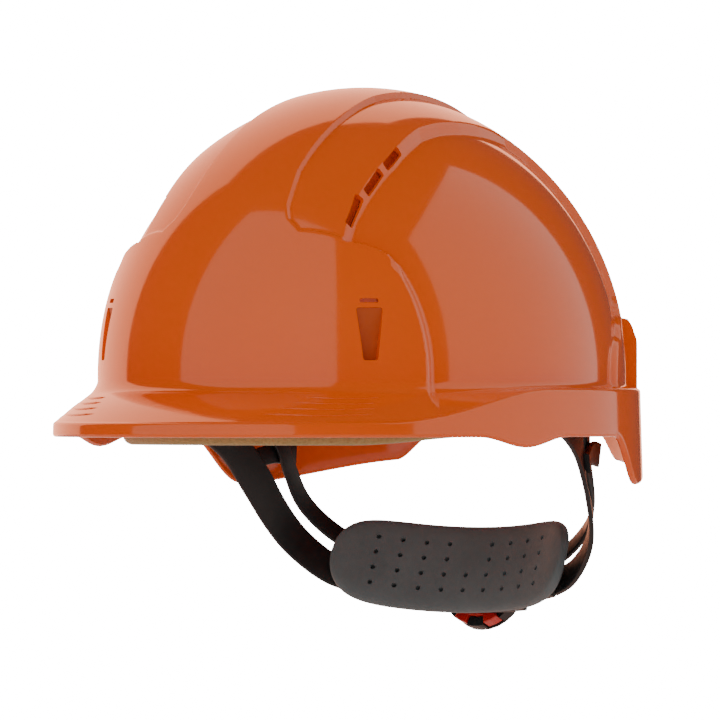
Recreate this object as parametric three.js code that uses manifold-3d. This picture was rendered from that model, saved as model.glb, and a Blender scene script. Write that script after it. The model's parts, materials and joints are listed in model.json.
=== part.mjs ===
// Vented safety helmet with a short peak, a textile crown cradle and a ratchet nape harness.
//
// Frame: millimetres, +X to the wearer's left, +Y to the rear, +Z up. The origin is the centre of
// the head opening, on the symmetry plane, level with the lower edge of the peak.

import * as THREE from 'three';
import { mergeVertices } from 'three/addons/utils/BufferGeometryUtils.js';
import Module from 'manifold-3d';

const wasm = await Module();
wasm.setup();

// ---------------------------------------------------------------- driving dimensions

const GAP = 0.3;                      // clearance between pieces that touch
const WALL = 2.8;                     // moulded wall of the shell

// The dome is an ellipsoid. Its crown strips and side panels are smaller ellipsoids, stepped in.
const DOME_Z = 25;
const DOME = { x: 101.5, y: 123.5, z: 117.5, middle: 1.5 };
const STRIP = { x: 100.7, y: 122.5, z: 115.1, middle: 1.5 };
const PANEL = { x: 98.3, y: 119.5, z: 111, middle: 1.5 };

// Brim: a short peak in front that turns into an upright skirt at the sides and rear.
const BRIM = { x: 107, front: 155, rear: 126.5, frontPower: 2.15, rearPower: 2.0 };
const BRIM_TOP = 20;                  // height of the ledge where the dome meets the brim
const PEAK_LIP = 5.3;                 // height of the lip round the peak
const LIP_WALL = 3;
const SIDE_DIP = { y: -38, half: 27, depth: 4.2 };
const LOBE = { start: 75, low: 60.5, high: 26.5, end: 19.5, lowDepth: 19.6, highDepth: 9.6 };
const SKIRT_FLARE = 0.03;

// Headband: an upright band on an ellipse.
const BAND = { x: 84, y: 104, centreY: -10, wall: 1.6, low: -2, high: 24, end: 104.5 };
const SWEAT = { end: 74, inner: -5, outer: 1.6, low: -3.4, flap: 9 };
const HOOK_ANGLES = [30, 72];         // places of the depth hooks round the band, in degrees
const STRAP_WIDTH = 20;
const STRAP_WALL = 1.2;
const STRAP_OUT = -0.3;               // strap ends stand this far outside the band's outline
const CROSSING_Y = -1.5;              // the crown straps cross above this point
const CROWN_TOP = 92;                 // height of the crown straps at the crossing
const ANCHOR = { low: 24, high: 40, width: 18, inner: 1.9, outer: 3.5 };

// Temple pins
const PIN = { y: 8, z: 10, radius: 3, head: 5.5 };

// Nape frame: an axis tilted back from the vertical. Everything at the nape is turned about it.
const NAPE = { y: -4.9, z: -22.5, tilt: 20.6 };
const PAD = { inner: 90, outer: 96, half: 18.7, end: 37.7 };
const RACK_RADIUS = 99.6;             // middle of the layer in which racks and arms slide
const RACK_WALL = 2;
const KNOB_Z = -2.7;                  // height of the knob's axle in the nape frame
const PINION = { module: 1, teeth: 12, tip: 6.8, root: 4.95, base: 5.64, hub: 4.6 };
const HOUSING = { inner: 96.4, floor: 98.1, outer: 101, reach: 27, up: 12.8, wall: 1.6 };
const COVER = { inner: 101.2, outer: 102.6 };
const KNOB = { back: 103, disc: 108.5, boss: 111, radius: 17.2, notch: 13.6, grips: 7 };
const AXLE = { radius: 1.6, bore: 1.9, head: 4 };

const COLOURS = {
  shell: 0xc85a14,
  black: 0x111113,
  grey: 0x4a4744,
  tan: 0xa5915a,
  red: 0xc8201c,
  textile: 0x1c1c1e,
  steel: 0xb0b2b5,
};

// ---------------------------------------------------------------- small helpers

const rad = THREE.MathUtils.degToRad;
const mix = THREE.MathUtils.lerp;
const smooth = THREE.MathUtils.smoothstep;
const group = new THREE.Group();
group.name = 'safety_helmet';

function material(colour, roughness, metalness = 0) {
  return new THREE.MeshStandardMaterial({ color: colour, roughness, metalness });
}

const FINISH = {
  shell: material(COLOURS.shell, 0.12),
  black: material(COLOURS.black, 0.4),
  grey: material(COLOURS.grey, 0.8),
  tan: material(COLOURS.tan, 0.9),
  red: material(COLOURS.red, 0.35),
  textile: material(COLOURS.textile, 0.95),
  steel: material(COLOURS.steel, 0.3, 1),
};

function place(name, geometry, finish, parent = group) {
  const flat = geometry.index ? geometry.toNonIndexed() : geometry;
  flat.computeVertexNormals();
  const mesh = new THREE.Mesh(flat, FINISH[finish]);
  mesh.name = name;
  parent.add(mesh);
  return mesh;
}

// A closed surface through a row of sections with the same number of points. The first and the
// last section are closed by the given triangles.
function loft(sections, caps) {
  const count = sections[0].length;
  const points = sections.flat();
  const index = [];
  for (let i = 0; i + 1 < sections.length; i++) {
    for (let j = 0; j < count; j++) {
      const a = i * count + j;
      const b = i * count + (j + 1) % count;
      index.push(a, b, b + count, a, b + count, a + count);
    }
  }
  const last = (sections.length - 1) * count;
  for (const [a, b, c] of caps) {
    index.push(a, c, b, last + a, last + b, last + c);
  }
  return outward(points, index);
}

// Turns a closed surface so that its faces point outwards.
function outward(points, index) {
  let volume = 0;
  for (let i = 0; i < index.length; i += 3) {
    const [a, b, c] = [points[index[i]], points[index[i + 1]], points[index[i + 2]]];
    volume += new THREE.Vector3().crossVectors(b, c).dot(a);
  }
  if (volume < 0) index.reverse();
  const geometry = new THREE.BufferGeometry();
  geometry.setFromPoints(points);
  geometry.setIndex(index);
  return geometry;
}

function capsOf(profile) {
  return THREE.ShapeUtils.triangulateShape(profile.map(([x, y]) => new THREE.Vector2(x, y)), []);
}

// A section of [radius, height] points turned about the Z axis, from the +Y direction towards +X.
function arcSweep(profile, from, to, steps) {
  const sections = [];
  for (let i = 0; i <= steps; i++) {
    const angle = rad(mix(from, to, i / steps));
    sections.push(profile.map(([r, z]) => polar(r, angle, z)));
  }
  return loft(sections, capsOf(profile));
}

function polar(radius, angle, z) {
  return new THREE.Vector3(radius * Math.sin(angle), radius * Math.cos(angle), z);
}

function block(low, high) {
  const size = new THREE.Vector3().subVectors(high, low);
  const geometry = new THREE.BoxGeometry(size.x, size.y, size.z);
  return geometry.translate((low.x + high.x) / 2, (low.y + high.y) / 2, (low.z + high.z) / 2);
}

const at = (x, y, z) => new THREE.Vector3(x, y, z);

function extrude(points, depth) {
  const shape = new THREE.Shape(points.map(([x, y]) => new THREE.Vector2(x, y)));
  return new THREE.ExtrudeGeometry(shape, { depth, bevelEnabled: false });
}

// A turned piece about the Z axis from [radius, height] points.
function turned(profile, segments) {
  const points = profile.map(([r, z]) => new THREE.Vector2(r, z));
  const geometry = new THREE.LatheGeometry(points, segments);
  return geometry.rotateX(Math.PI / 2);
}

function rod(radius, from, to, segments = 20) {
  return turned([[0, from], [radius, from], [radius, to], [0, to]], segments);
}

// ---------------------------------------------------------------- joining and cutting

function solid(geometry) {
  const bare = geometry.clone();
  bare.deleteAttribute('normal');
  bare.deleteAttribute('uv');
  const merged = mergeVertices(bare, 1e-4);
  const triVerts = [];
  const index = merged.index.array;
  for (let i = 0; i < index.length; i += 3) {
    const [a, b, c] = [index[i], index[i + 1], index[i + 2]];
    if (a !== b && b !== c && c !== a) triVerts.push(a, b, c);
  }
  return new wasm.Manifold(new wasm.Mesh({
    numProp: 3,
    vertProperties: new Float32Array(merged.attributes.position.array),
    triVerts: new Uint32Array(triVerts),
  }));
}

function surface(body) {
  const mesh = body.getMesh();
  const geometry = new THREE.BufferGeometry();
  geometry.setAttribute('position', new THREE.BufferAttribute(mesh.vertProperties.slice(), 3));
  geometry.setIndex(new THREE.BufferAttribute(mesh.triVerts.slice(), 1));
  return geometry;
}

function cut(geometry, ...tools) {
  let body = solid(geometry);
  for (const tool of tools) body = body.subtract(solid(tool));
  return surface(body);
}

function join(first, ...others) {
  let body = solid(first);
  for (const other of others) body = body.add(solid(other));
  return surface(body);
}

function common(first, second) {
  return surface(solid(first).intersect(solid(second)));
}

// ---------------------------------------------------------------- shell

const SIDES = [['left', 1], ['right', -1]];

// Polar angle 0 is the front, and it grows towards the wearer's left.
function ovalRadius(angle, a, b, power = 2) {
  const s = Math.abs(Math.sin(angle)) / a;
  const c = Math.abs(Math.cos(angle)) / b;
  return (s ** power + c ** power) ** (-1 / power);
}

function ringPoint(radius, angle, z, middle = DOME.middle) {
  return new THREE.Vector3(radius * Math.sin(angle), middle - radius * Math.cos(angle), z);
}

function brimRadius(angle) {
  const front = Math.cos(angle) > 0;
  const reach = front ? BRIM.front : BRIM.rear;
  return ovalRadius(angle, BRIM.x, reach, front ? BRIM.frontPower : BRIM.rearPower);
}

// Height of the brim's upper edge: low round the peak, level with the ledge behind the temples.
function lipTop(angle) {
  const y = ringPoint(brimRadius(angle), angle, 0).y;
  return mix(PEAK_LIP, BRIM_TOP - 0.4, smooth(y, -105, -22));
}

// Height of the brim's lower edge: a dip at each side and two lobes at the rear.
function lipBottom(angle) {
  const point = ringPoint(brimRadius(angle), angle, 0);
  if (point.y < 0) {
    const t = Math.abs(point.y - SIDE_DIP.y) / SIDE_DIP.half;
    return t < 1 ? -SIDE_DIP.depth * Math.cos(t * Math.PI / 2) ** 2 : 0;
  }
  const fromRear = THREE.MathUtils.radToDeg(Math.PI - Math.abs(angle));
  const body = mix(LOBE.highDepth, LOBE.lowDepth, smooth(fromRear, LOBE.high - 6, LOBE.low));
  const front = 1 - smooth(fromRear, LOBE.low, LOBE.start);
  const rear = smooth(fromRear, LOBE.end, LOBE.high);
  return -body * front * rear;
}

const RING_STEPS = 64;
const DOME_STEPS = 13;
const ringAngles = (count) => Array.from({ length: count }, (_, i) => -Math.PI + 2 * Math.PI * i / count);

// A closed body from level rings; a single point closes it at each end.
function ringBody(top, rings, bottom) {
  const count = rings[0].length;
  const points = [...rings.flat(), top, bottom];
  const index = [];
  const topAt = points.length - 2;
  const bottomAt = points.length - 1;
  const last = (rings.length - 1) * count;
  for (let j = 0; j < count; j++) {
    const k = (j + 1) % count;
    index.push(topAt, j, k, bottomAt, last + k, last + j);
    for (let i = 0; i + 1 < rings.length; i++) {
      const a = i * count + j;
      const b = i * count + k;
      index.push(a, b + count, b, a, a + count, b + count);
    }
  }
  return outward(points, index);
}

// Rings of an ellipsoid from just under its top down to its equator.
function domeRings(size, angles, steps) {
  const rings = [];
  for (let i = 1; i <= steps; i++) {
    const polarAngle = Math.PI / 2 * i / steps;
    const z = DOME_Z + size.z * Math.cos(polarAngle);
    const scale = Math.sin(polarAngle);
    rings.push(angles.map((a) => ringPoint(scale * ovalRadius(a, size.x, size.y), a, z, size.middle)));
  }
  return rings;
}

function smaller(size, drop) {
  return { x: size.x - drop, y: size.y - drop, z: size.z - drop, middle: size.middle };
}

const topOf = (size) => at(0, size.middle, DOME_Z + size.z);

// An ellipsoid with an upright wall under it, down to the given height.
function domeBody(size, ringCount, steps, low) {
  const angles = ringAngles(ringCount);
  const rings = domeRings(size, angles, steps);
  rings.push(angles.map((a) => ringPoint(ovalRadius(a, size.x, size.y), a, low, size.middle)));
  return ringBody(topOf(size), rings, at(0, size.middle, low));
}

function shellOuter() {
  const angles = ringAngles(RING_STEPS);
  const rings = domeRings(DOME, angles, DOME_STEPS);
  rings.push(angles.map((a) => ringPoint(ovalRadius(a, DOME.x, DOME.y), a, BRIM_TOP)));
  rings.push(angles.map((a) => ringPoint(brimRadius(a), a, lipTop(a))));
  const flare = (a) => brimRadius(a) + SKIRT_FLARE * (lipTop(a) - lipBottom(a));
  rings.push(angles.map((a) => ringPoint(flare(a), a, lipBottom(a))));
  rings.push(angles.map((a) => ringPoint(flare(a) - 12, a, lipBottom(a))));
  return ringBody(topOf(DOME), rings, at(0, DOME.middle, -30));
}

// The space under the shell, as far as the lower edge and past it.
function shellInner(size) {
  const angles = ringAngles(RING_STEPS);
  const rings = domeRings(size, angles, 9);
  const under = (a) => lipTop(a) - WALL;
  const inside = (a) => brimRadius(a) - LIP_WALL;
  const wall = (a) => ovalRadius(a, size.x, size.y);
  rings.push(angles.map((a) => ringPoint(wall(a), a, BRIM_TOP - WALL, size.middle)));
  rings.push(angles.map((a) => ringPoint(inside(a), a, under(a))));
  const flare = (a) => inside(a) + SKIRT_FLARE * (lipTop(a) + 45);
  rings.push(angles.map((a) => ringPoint(flare(a), a, -45)));
  return ringBody(topOf(size), rings, at(0, DOME.middle, -45));
}

// Plan outlines of the stepped areas, on the wearer's left.
const STEP_FRONT = [
  [25, -93.2], [27.5, -96.2], [33, -97], [49.4, -88.7], [67.5, -75.5], [80.4, -71.3], [125, -66],
];
const RIDGE_EDGE = [
  [20, 150], [20.5, 40], [20, 20], [19.6, 0], [19.3, -20], [21, -45], [21.6, -64.6], [22.2, -80.6],
];
const PANEL_EDGE = [
  [125, 30], [97, 35], [94.5, 43], [88, 57], [81, 68], [76, 72.5], [66.6, 65.5], [58, 58.5], [49, 49],
  [45, 38], [46, 17], [46, 2], [45.2, -12.7], [45, -26], [47.7, -50], [47.7, -80], [49.4, -88.7],
];

function planPrism(outline, side, low, high) {
  const points = outline.map(([x, y]) => [side * x, y]);
  if (side < 0) points.reverse();
  return extrude(points, high - low).translate(0, 0, low);
}

function shellCutters() {
  const tools = [];
  const strip = solid(domeBody(STRIP, RING_STEPS, DOME_STEPS, 10));
  const panel = solid(domeBody(PANEL, RING_STEPS, DOME_STEPS, 10));
  for (const [, side] of SIDES) {
    const stripPlan = [...RIDGE_EDGE, ...STEP_FRONT, [125, 150]];
    const panelPlan = [...PANEL_EDGE, ...STEP_FRONT.slice(4)];
    tools.push(solid(planPrism(stripPlan, side, BRIM_TOP, 160)).subtract(strip));
    tools.push(solid(planPrism(panelPlan, side, BRIM_TOP, 160)).subtract(panel));
  }
  return tools;
}

// Three vent slots run inwards through each step between crown strip and side panel.
const VENTS = [
  { y: -78.5, z: 91.2, lean: 50 },
  { y: -64.5, z: 103, lean: 38 },
  { y: -50, z: 112.6, lean: 30 },
];
const VENT = { length: 10.5, width: 4.4 };

function ventTool(vent, side) {
  const slot = new THREE.BoxGeometry(26, VENT.length, VENT.width);
  slot.rotateX(rad(vent.lean));
  return slot.translate(side * 49, vent.y, vent.z);
}

// Accessory recess: a tapered pocket on the front quarter. Its floor is a flat ramp that is flush at
// the top and deepest at the bottom. A hook slot lies above it.
const RECESS = {
  azimuth: 34.4, facing: 45.4, low: 31.2, high: 52.4, wide: 11, narrow: 5.9, depth: 2.4,
};
RECESS.surface = ovalRadius(rad(RECESS.azimuth), DOME.x, DOME.y);
RECESS.reach = Math.hypot(DOME.x * Math.sin(rad(RECESS.facing)), DOME.y * Math.cos(rad(RECESS.facing)));
RECESS.sink = RECESS.reach * (1 - Math.sqrt(1 - ((RECESS.high - DOME_Z) / DOME.z) ** 2));
RECESS.lean = THREE.MathUtils.radToDeg(Math.atan2(RECESS.sink - RECESS.depth, RECESS.high - RECESS.low));

// Local frame of a recess: +Z outwards from the floor, +Y up the ramp, origin at its lower edge.
function toRecess(geometry, side) {
  const facing = rad(side * RECESS.facing);
  geometry.rotateX(rad(90 - RECESS.lean));
  geometry.rotateZ(facing);
  const base = ringPoint(RECESS.surface, rad(side * RECESS.azimuth), RECESS.low);
  base.addScaledVector(at(Math.sin(facing), -Math.cos(facing), 0), -RECESS.depth);
  return geometry.translate(base.x, base.y, base.z);
}

function recessTool(side) {
  const height = (RECESS.high - RECESS.low) / Math.cos(rad(RECESS.lean));
  const [a, b] = [RECESS.narrow / 2, RECESS.wide / 2];
  return toRecess(extrude([[-a, 0], [a, 0], [b, height], [-b, height]], 12), side);
}

function hookSlotTool(side) {
  return toRecess(block(at(-3.8, 23.2, -8), at(3.8, 24.9, 12)), side);
}

function recessBacking(side) {
  return toRecess(block(at(-8.5, -4, -2), at(8.5, 21.8, 12)), side);
}

// Rails that hold one harness anchor against the shell, in the anchor's frame.
function anchorRails(seat) {
  const half = ANCHOR.width / 2 + GAP;
  return [-1, 1].map((side) => {
    const low = at(Math.min(side * half, side * (half + 2.6)), 1.4, 26);
    const high = at(Math.max(side * half, side * (half + 2.6)), 18, 38);
    return toSeat(block(low, high), seat);
  });
}

// Plan outline of the space behind the front of the dome, which stands out past the side panels.
const FRONT_HOLLOW = [
  [0, -84], [44, -84], [44, -95], [48, -93], [66, -79.8], [80, -75.3], [120, -70.5], [120, -170], [0, -170],
];

function hollow() {
  let space = solid(shellInner(smaller(PANEL, WALL)));
  const front = solid(domeBody(smaller(DOME, WALL + 0.4), 40, 8, 10));
  for (const [, side] of SIDES) {
    space = space.add(solid(planPrism(FRONT_HOLLOW, side, 10, 160)).intersect(front));
  }
  const crown = domeBody(smaller(STRIP, WALL), 40, 8, 10);
  space = space.add(solid(common(crown, block(at(-42, -84, 10), at(42, 140, 160)))));
  for (const seat of ANCHOR_SEATS) {
    for (const rail of anchorRails(seat)) space = space.subtract(solid(rail));
  }
  for (const [, side] of SIDES) space = space.subtract(solid(recessBacking(side)));
  return space;
}

function shellSolid() {
  let body = solid(shellOuter());
  for (const tool of shellCutters()) body = body.subtract(tool);
  body = body.add(solid(rearBand()));
  for (const [, side] of SIDES) body = body.subtract(solid(recessTool(side)));
  body = body.subtract(hollow());
  for (const [, side] of SIDES) {
    body = body.subtract(solid(hookSlotTool(side)));
    for (const vent of VENTS) body = body.subtract(solid(ventTool(vent, side)));
  }
  return surface(body);
}

// The raised band at the rear follows the skirt and has a rounded, sloping top.
const REAR_BAND = { half: 41.9, setback: 0.4, low: 17, shoulder: 37.5, top: 49.5, root: 8 };

function rearBand() {
  const sections = [];
  const steps = 14;
  const { half, setback, low, shoulder, top, root } = REAR_BAND;
  for (let i = 0; i <= steps; i++) {
    const angle = Math.PI + rad(mix(-half, half, i / steps));
    const face = brimRadius(angle) - setback;
    const back = ovalRadius(angle, DOME.x, DOME.y) - root;
    const profile = [
      [back, low], [face, low], [face, shoulder],
      [face - 1.5, shoulder + 5.5], [face - 4.5, top - 1], [back, top],
    ];
    sections.push(profile.map(([r, z]) => ringPoint(r, angle, z)));
  }
  return loft(sections, [[0, 1, 2], [0, 2, 3], [0, 3, 4], [0, 4, 5]]);
}

// ---------------------------------------------------------------- crown cradle

// A seat is a place on the headband's outline: a point, and the direction that faces outwards.
// In a seat's frame +X runs along the band, +Y faces outwards and +Z is up.
function bandSeat(degrees, side) {
  const t = rad(degrees);
  const normal = at(Math.sin(t) / BAND.x, -Math.cos(t) / BAND.y, 0).normalize();
  const point = at(BAND.x * Math.sin(t), BAND.centreY - BAND.y * Math.cos(t), 0);
  return { x: side * point.x, y: point.y, turn: Math.atan2(-side * normal.x, normal.y) };
}

function toSeat(geometry, seat) {
  return geometry.rotateZ(seat.turn).translate(seat.x, seat.y, 0);
}

const FRONT_SEATS = SIDES.map(([name, side]) => (
  { name: `front_${name}`, ...bandSeat(HOOK_ANGLES[0], side) }));
const HANGER_SEATS = SIDES.map(([name, side]) => (
  { name: `${name}_side`, ...bandSeat(HOOK_ANGLES[1], side) }));
const SIDE_SEATS = SIDES.map(([name, side]) => (
  { name, x: side * 88, y: CROSSING_Y, turn: -side * Math.PI / 2 }));
const REAR_SEATS = SIDES.map(([name, side]) => (
  { name: `rear_${name}`, x: side * 34.5, y: 101.5, turn: -side * rad(28) }));
const ANCHOR_SEATS = [...FRONT_SEATS, ...SIDE_SEATS, ...REAR_SEATS, ...HANGER_SEATS];

function anchorPlate() {
  const half = ANCHOR.width / 2;
  const plate = block(at(-half, ANCHOR.inner, ANCHOR.low), at(half, ANCHOR.outer, ANCHOR.high));
  const window = block(at(-5, 0, 33), at(5, 6, 36));
  return cut(plate, window);
}

function hookPlate() {
  const tab = block(at(-6, GAP, 9.6), at(6, 1.6, 30));
  return cut(tab, block(at(-3, 0, 25), at(3, 3, 27.5)));
}

// A strap from one anchor over the head to the opposite one: two upright ends and half an ellipse.
function crownStrap(from, to, top) {
  const start = seatPoint(from, STRAP_OUT);
  const end = seatPoint(to, STRAP_OUT);
  const middle = at((start.x + end.x) / 2, (start.y + end.y) / 2, 0);
  const along = at(end.x - start.x, end.y - start.y, 0);
  const reach = along.length() / 2;
  along.normalize();
  const across = at(-along.y, along.x, 0);
  const base = ANCHOR.high + GAP;
  const sections = [];
  const steps = 22;
  for (let i = 0; i <= steps; i++) {
    const t = Math.PI * i / steps;
    const rise = top - base;
    const centre = middle.clone().addScaledVector(along, -reach * Math.cos(t));
    centre.z = base + rise * Math.sin(t);
    const normal = along.clone().multiplyScalar(-Math.cos(t) * rise);
    normal.z = reach * Math.sin(t);
    normal.normalize();
    const section = [[-1, -1], [1, -1], [1, 1], [-1, 1]].map(([w, h]) => centre.clone()
      .addScaledVector(across, w * STRAP_WIDTH / 2)
      .addScaledVector(normal, h * STRAP_WALL / 2));
    sections.push(section);
  }
  return loft(sections, [[0, 1, 2], [0, 2, 3]]);
}

function seatPoint(seat, outwards) {
  return at(seat.x - outwards * Math.sin(seat.turn), seat.y + outwards * Math.cos(seat.turn), 0);
}

// ---------------------------------------------------------------- headband

function bandPoint(t, outwards, z) {
  const normal = at(Math.sin(t) / BAND.x, -Math.cos(t) / BAND.y, 0).normalize();
  const point = at(BAND.x * Math.sin(t), BAND.centreY - BAND.y * Math.cos(t), z);
  return point.addScaledVector(normal, outwards);
}

// The lower edges of band and sweatband rise a little towards the temples.
const edgeRise = (degrees) => 3.4 * smooth(Math.abs(degrees), 40, 74);

function bandSweep(profile, end, steps) {
  const sections = [];
  for (let i = 0; i <= steps; i++) {
    const degrees = mix(-end, end, i / steps);
    const rise = edgeRise(degrees);
    sections.push(profile.map(([n, z]) => bandPoint(rad(degrees), n, z < 5 ? z + rise : z)));
  }
  return loft(sections, capsOf(profile));
}

function headband() {
  const profile = [[-BAND.wall, BAND.low], [0, BAND.low], [0, BAND.high], [-BAND.wall, BAND.high]];
  const band = bandSweep(profile, BAND.end, 44);
  return cut(band, ...SIDES.map(([, side]) => templeTool(side, PIN.radius + GAP)));
}

function templeTool(side, radius) {
  const tool = rod(radius, 60, 100).rotateY(Math.PI / 2);
  if (side < 0) tool.rotateZ(Math.PI);
  return tool.translate(0, PIN.y, PIN.z);
}

function sweatband() {
  const { inner, outer, low, flap } = SWEAT;
  const floor = BAND.low - GAP;
  return bandSweep([
    [inner, low], [outer, low], [outer, flap], [GAP, flap],
    [GAP, floor], [-BAND.wall - GAP, floor], [-BAND.wall - GAP, BAND.high], [inner, BAND.high],
  ], SWEAT.end, 36);
}

function pivotPin(side) {
  const pin = turned([
    [0, 77.9], [PIN.head, 77.9], [PIN.head, 79.6], [PIN.radius, 79.6],
    [PIN.radius, 90.3], [PIN.head, 90.3], [PIN.head, 92], [0, 92],
  ], 20);
  pin.rotateY(Math.PI / 2);
  if (side < 0) pin.rotateZ(Math.PI);
  return pin.translate(0, PIN.y, PIN.z);
}

// ---------------------------------------------------------------- nape harness, in the nape frame

// Nape frame: +Y outwards at the nape, +Z up the tilted axis, +X to the wearer's left.
const nape = new THREE.Group();
nape.position.set(0, NAPE.y, NAPE.z);
nape.rotation.x = -rad(NAPE.tilt);
group.add(nape);

// The arms lie in a surface of revolution about the nape axis, so they slide within it.
function armRadius(degrees, z) {
  const above = mix(RACK_RADIUS, 88, smooth(z, -8, 36));
  return mix(RACK_RADIUS, above, smooth(degrees, 38, 60));
}

// A flat strap on the arms' surface. The path gives [angle from the nape, height, width].
function ribbon(path, side, lift, wall, steps) {
  const curve = new THREE.CatmullRomCurve3(path.map(([a, z, w]) => at(a, z, w)), false, 'centripetal');
  const scale = rad(1) * RACK_RADIUS;
  const sections = [];
  for (let i = 0; i <= steps; i++) {
    const { x: angle, y: z, z: width } = curve.getPoint(i / steps);
    const tangent = curve.getTangent(i / steps);
    const along = new THREE.Vector2(tangent.x * scale, tangent.y).normalize();
    const half = width / 2;
    const edge = (s) => [angle + s * half * -along.y / scale, z + s * half * along.x];
    const corners = [[edge(-1), 0], [edge(1), 0], [edge(1), 1], [edge(-1), 1]];
    sections.push(corners.map(([[a, h], out]) => {
      const radius = armRadius(a, h) - RACK_WALL / 2 + lift + out * wall;
      return polar(radius, side * rad(a), h);
    }));
  }
  return loft(sections, [[0, 1, 2], [0, 2, 3]]);
}

const PLATE = { low: -12.9, high: 9, from: 38, to: 48 };   // end plate of a rack, along the arc
const degreesAt = (arc) => THREE.MathUtils.radToDeg(arc / RACK_RADIUS);
const ARM_START = degreesAt(PLATE.to + 1.4);   // the straps start here, clear of the plate
const PIN_ANGLE = 89.6;
const PIN_Z = 35;
const ARM_PATH = [
  [ARM_START, -6.9, 12.2], [36, -5, 12.8], [45, 2, 13.2], [53.2, 11.2, 13.5], [61, 20.3, 13.8],
  [71, 30, 14.5], [80, PIN_Z - 0.8, 16], [PIN_ANGLE, PIN_Z, 16], [101, PIN_Z, 15],
];
const STRUT_PATH = [
  [ARM_START, 5.2, 7], [35.3, 9.3, 7.4], [41, 14, 7.4], [47.2, 20.6, 7.4], [52.5, 29.5, 7.4],
  [57.3, 38.2, 7.4], [63, 45, 7.4], [70, 48.4, 7.4], [77, 48.4, 7.4],
];

function cradleArm(side) {
  const arm = ribbon(ARM_PATH, side, 0, RACK_WALL, 40);
  const half = PIN.radius + GAP;
  const slot = [[80, PIN_Z - half], [93, PIN_Z - half], [93, PIN_Z + half], [80, PIN_Z + half]];
  const ends = side > 0 ? [84.7, 97.7] : [-97.7, -84.7];
  return cut(arm, arcSweep(slot, ends[0], ends[1], 6));
}

// The bridge lies over both straps on the outside and closes the gap between them.
function bridge(side) {
  const path = [[66, 26.5, 8], [62, 30.5, 8], [58, 34.5, 8.6], [54, 37, 10], [51.5, 38, 10]];
  return ribbon(path, side, RACK_WALL + GAP, 2.2, 8);
}

const TOOTH = { high: 0.7, low: -1, half: Math.PI / 4 - 0.1, slope: Math.tan(rad(20)) };
const PITCH_RADIUS = PINION.module * PINION.teeth / 2;

// A toothed bar that ends in a plate. On the left it runs under the pinion, on the right over it.
function rack(side) {
  const face = side > 0 ? 1 : -1;
  const pitchLine = KNOB_Z - face * PITCH_RADIUS;
  const back = KNOB_Z - face * 10.2;
  const stations = [[-12.5, TOOTH.low]];
  const crest = TOOTH.half - TOOTH.high * TOOTH.slope;
  const root = TOOTH.half - TOOTH.low * TOOTH.slope;
  for (let k = -4; k <= 4; k++) {
    const centre = (k + 0.5) * Math.PI * PINION.module;
    stations.push([centre - root, TOOTH.low], [centre - crest, TOOTH.high]);
    stations.push([centre + crest, TOOTH.high], [centre + root, TOOTH.low]);
  }
  for (let s = 18; s <= 42; s += 4) stations.push([s, TOOTH.low]);
  const low = RACK_RADIUS - RACK_WALL / 2;
  const high = RACK_RADIUS + RACK_WALL / 2;
  const sections = stations.map(([s, depth]) => {
    const angle = side * s / RACK_RADIUS;
    const edge = pitchLine + face * depth;
    return [
      polar(low, angle, back), polar(low, angle, edge), polar(high, angle, edge), polar(high, angle, back),
    ];
  });
  const bar = loft(sections, [[0, 1, 2], [0, 2, 3]]);
  const profile = [[low, PLATE.low], [high, PLATE.low], [high, PLATE.high], [low, PLATE.high]];
  const plate = arcSweep(profile, side * degreesAt(PLATE.from), side * degreesAt(PLATE.to), 4);
  return join(bar, plate);
}

function pinion() {
  const inv = (angle) => Math.tan(angle) - angle;
  const pressure = rad(20);
  const half = Math.PI / 2 / PINION.teeth - 0.12 / PITCH_RADIUS;
  const outline = [];
  for (let k = 0; k < PINION.teeth; k++) {
    const centre = 2 * Math.PI * k / PINION.teeth;
    const flank = [PINION.root, PINION.base, (PINION.base + PINION.tip) / 2, PINION.tip].map((r) => {
      const local = Math.acos(Math.min(1, PINION.base / r));
      return [r, half + inv(pressure) - inv(local)];
    });
    for (const [r, a] of flank) outline.push([r * Math.cos(centre - a), r * Math.sin(centre - a)]);
    for (const [r, a] of flank.reverse()) outline.push([r * Math.cos(centre + a), r * Math.sin(centre + a)]);
  }
  const gear = extrude(outline, 2.3).translate(0, 0, 98.5);
  return cut(join(gear, rod(PINION.hub, 100.6, 105.7, 24)), rod(AXLE.bore, 90, 110, 16));
}

function housing() {
  const { inner, floor, outer, reach, up, wall } = HOUSING;
  const [low, high] = [KNOB_Z - up, KNOB_Z + up];
  const channel = arcSweep([
    [inner, low], [outer, low], [outer, low + wall], [floor, low + wall],
    [floor, high - wall], [outer, high - wall], [outer, high], [inner, high],
  ], -degreesAt(reach), degreesAt(reach), 12);
  const studs = SIDES.map(([, side]) => studTool(side, 2.3));
  return cut(channel, knobward(rod(AXLE.bore, 90, 100, 16)), ...studs);
}

function cover() {
  const { reach, up } = HOUSING;
  const [low, high] = [KNOB_Z - up, KNOB_Z + up];
  const profile = [[COVER.inner, low], [COVER.outer, low], [COVER.outer, high], [COVER.inner, high]];
  const plate = arcSweep(profile, -degreesAt(reach), degreesAt(reach), 12);
  return cut(plate, knobward(rod(PINION.hub + GAP, 95, 110, 24)));
}

// Knob pieces are drawn with their axle along +Z, measured from the nape axis.
function knobward(geometry) {
  return geometry.rotateX(-Math.PI / 2).translate(0, 0, KNOB_Z);
}

function knobOutline(outer, inner, halfNotch) {
  const points = [];
  const pitch = 360 / KNOB.grips;
  for (let k = 0; k < KNOB.grips; k++) {
    const centre = k * pitch;
    for (const a of [halfNotch, pitch / 2, pitch - halfNotch]) points.push([outer, centre + a]);
    for (const a of [-halfNotch, 0, halfNotch]) points.push([inner, centre + pitch + a]);
  }
  return points.map(([r, a]) => [r * Math.sin(rad(a)), r * Math.cos(rad(a))]);
}

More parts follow.
